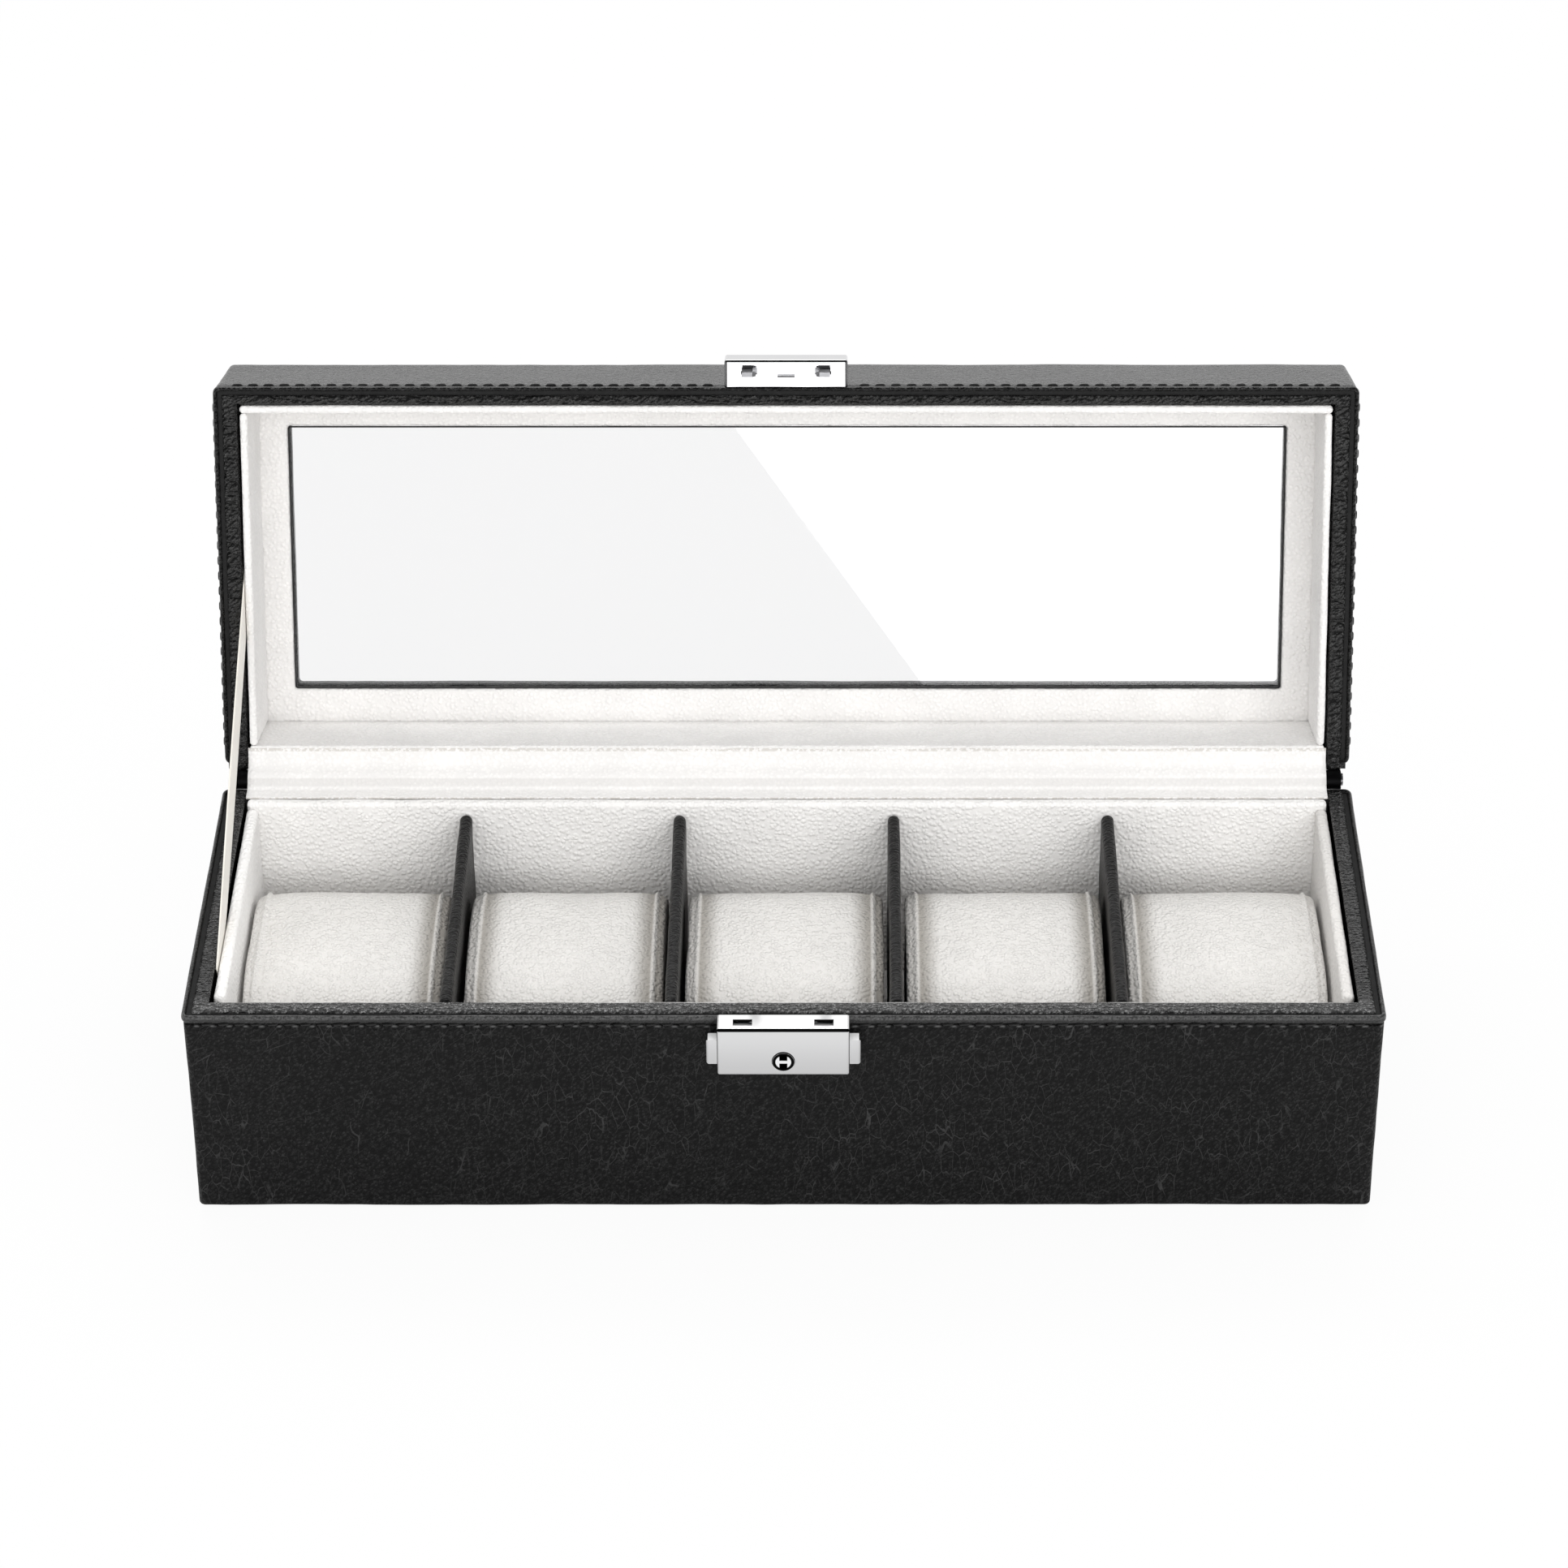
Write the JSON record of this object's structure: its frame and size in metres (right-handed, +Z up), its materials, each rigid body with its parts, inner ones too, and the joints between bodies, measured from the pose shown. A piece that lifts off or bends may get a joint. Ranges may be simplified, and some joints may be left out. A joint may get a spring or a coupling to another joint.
{
  "type": "watch box",
  "caption": "Long black leather watch box with a glass lid on a full-length hinge, pale velvet lining, lift-out cushions between dividers, a ribbon stay and a squeeze lock.",
  "frame": {"origin": "centre of the underside, on the surface that the box stands on", "axes": "+X along the box to the right seen from the lock, -Y towards the lock, +Z up"},
  "size_m": [0.3, 0.1801, 0.168],
  "materials": {
    "leather": "grained, satin",
    "rim_leather": "grained, satin",
    "divider_leather": "smooth, satin",
    "board": "raw fibreboard",
    "velvet": "short pile",
    "cushion_suede": "short pile",
    "underside_felt": "felt",
    "ribbon": "satin weave",
    "glass": "clear",
    "chrome": "polished plate",
    "black_steel": "black lacquer",
    "steel": "plain"
  },
  "bodies": {
    "base": {"base_bottom_board": "board", "base_front_board": "board", "base_back_board": "board", "base_left_board": "board", "base_right_board": "board", "base_bottom_cover": "underside_felt", "base_leather_wrap": "leather", "base_rim_leather": "rim_leather", "base_lining_floor": "velvet", "base_lining_front": "velvet", "base_lining_back": "velvet", "base_lining_left": "velvet", "base_lining_right": "velvet", "divider_1": "divider_leather", "divider_2": "divider_leather", "divider_3": "divider_leather", "divider_4": "divider_leather", "lock_case": "chrome", "lock_back_plate": "steel", "lock_rivets": "steel", "lock_spring_left": "steel", "lock_spring_right": "steel", "hinge_base_leaf": "black_steel", "hinge_pin": "black_steel", "hinge_velvet_strip": "velvet", "ribbon_stay": "ribbon"},
    "lid": {"lid_top_board": "board", "lid_front_board": "board", "lid_back_board": "board", "lid_left_board": "board", "lid_right_board": "board", "lid_leather_wrap": "leather", "lid_rim_leather": "rim_leather", "lid_glass": "glass", "lid_lining_top": "velvet", "lid_lining_front": "velvet", "lid_lining_back": "velvet", "lid_lining_left": "velvet", "lid_lining_right": "velvet", "lock_strike": "chrome", "strike_hooks": "chrome", "strike_rivets": "steel", "hinge_lid_leaf": "black_steel"},
    "lock_button_left": {"lock_button_left": "chrome"},
    "lock_button_right": {"lock_button_right": "chrome"},
    "lock_core": {"lock_core": "chrome"},
    "cushion_1": {"cushion_1": "cushion_suede"},
    "cushion_2": {"cushion_2": "cushion_suede"},
    "cushion_3": {"cushion_3": "cushion_suede"},
    "cushion_4": {"cushion_4": "cushion_suede"},
    "cushion_5": {"cushion_5": "cushion_suede"}
  },
  "joints": [
    {"name": "lid_hinge", "type": "hinge", "parent": "base", "child": "lid", "pos_m": [0, 0.055, 0.0615], "axis": [-1, 0, 0], "range_deg": [-108.6, 0], "deforming": ["ribbon_stay", "hinge_velvet_strip"]},
    {"name": "lock_core_turn", "type": "hinge", "parent": "base", "child": "lock_core", "pos_m": [0, -0.056, 0.0526], "axis": [0, 1, 0], "range_deg": [0, 90]},
    {"name": "lock_button_left_press", "type": "slide", "parent": "base", "child": "lock_button_left", "axis": [1, 0, 0], "range_m": [0, 0.002], "stiffness_N_per_m": 400, "deforming": ["lock_spring_left"]},
    {"name": "lock_button_right_press", "type": "slide", "parent": "base", "child": "lock_button_right", "axis": [-1, 0, 0], "range_m": [0, 0.002], "stiffness_N_per_m": 400, "deforming": ["lock_spring_right"]},
    {"name": "cushion_1_lift", "type": "slide", "parent": "base", "child": "cushion_1", "axis": [0, 0, 1], "range_m": [0, 0.075]},
    {"name": "cushion_2_lift", "type": "slide", "parent": "base", "child": "cushion_2", "axis": [0, 0, 1], "range_m": [0, 0.075]},
    {"name": "cushion_3_lift", "type": "slide", "parent": "base", "child": "cushion_3", "axis": [0, 0, 1], "range_m": [0, 0.075]},
    {"name": "cushion_4_lift", "type": "slide", "parent": "base", "child": "cushion_4", "axis": [0, 0, 1], "range_m": [0, 0.075]},
    {"name": "cushion_5_lift", "type": "slide", "parent": "base", "child": "cushion_5", "axis": [0, 0, 1], "range_m": [0, 0.075]}
  ]
}
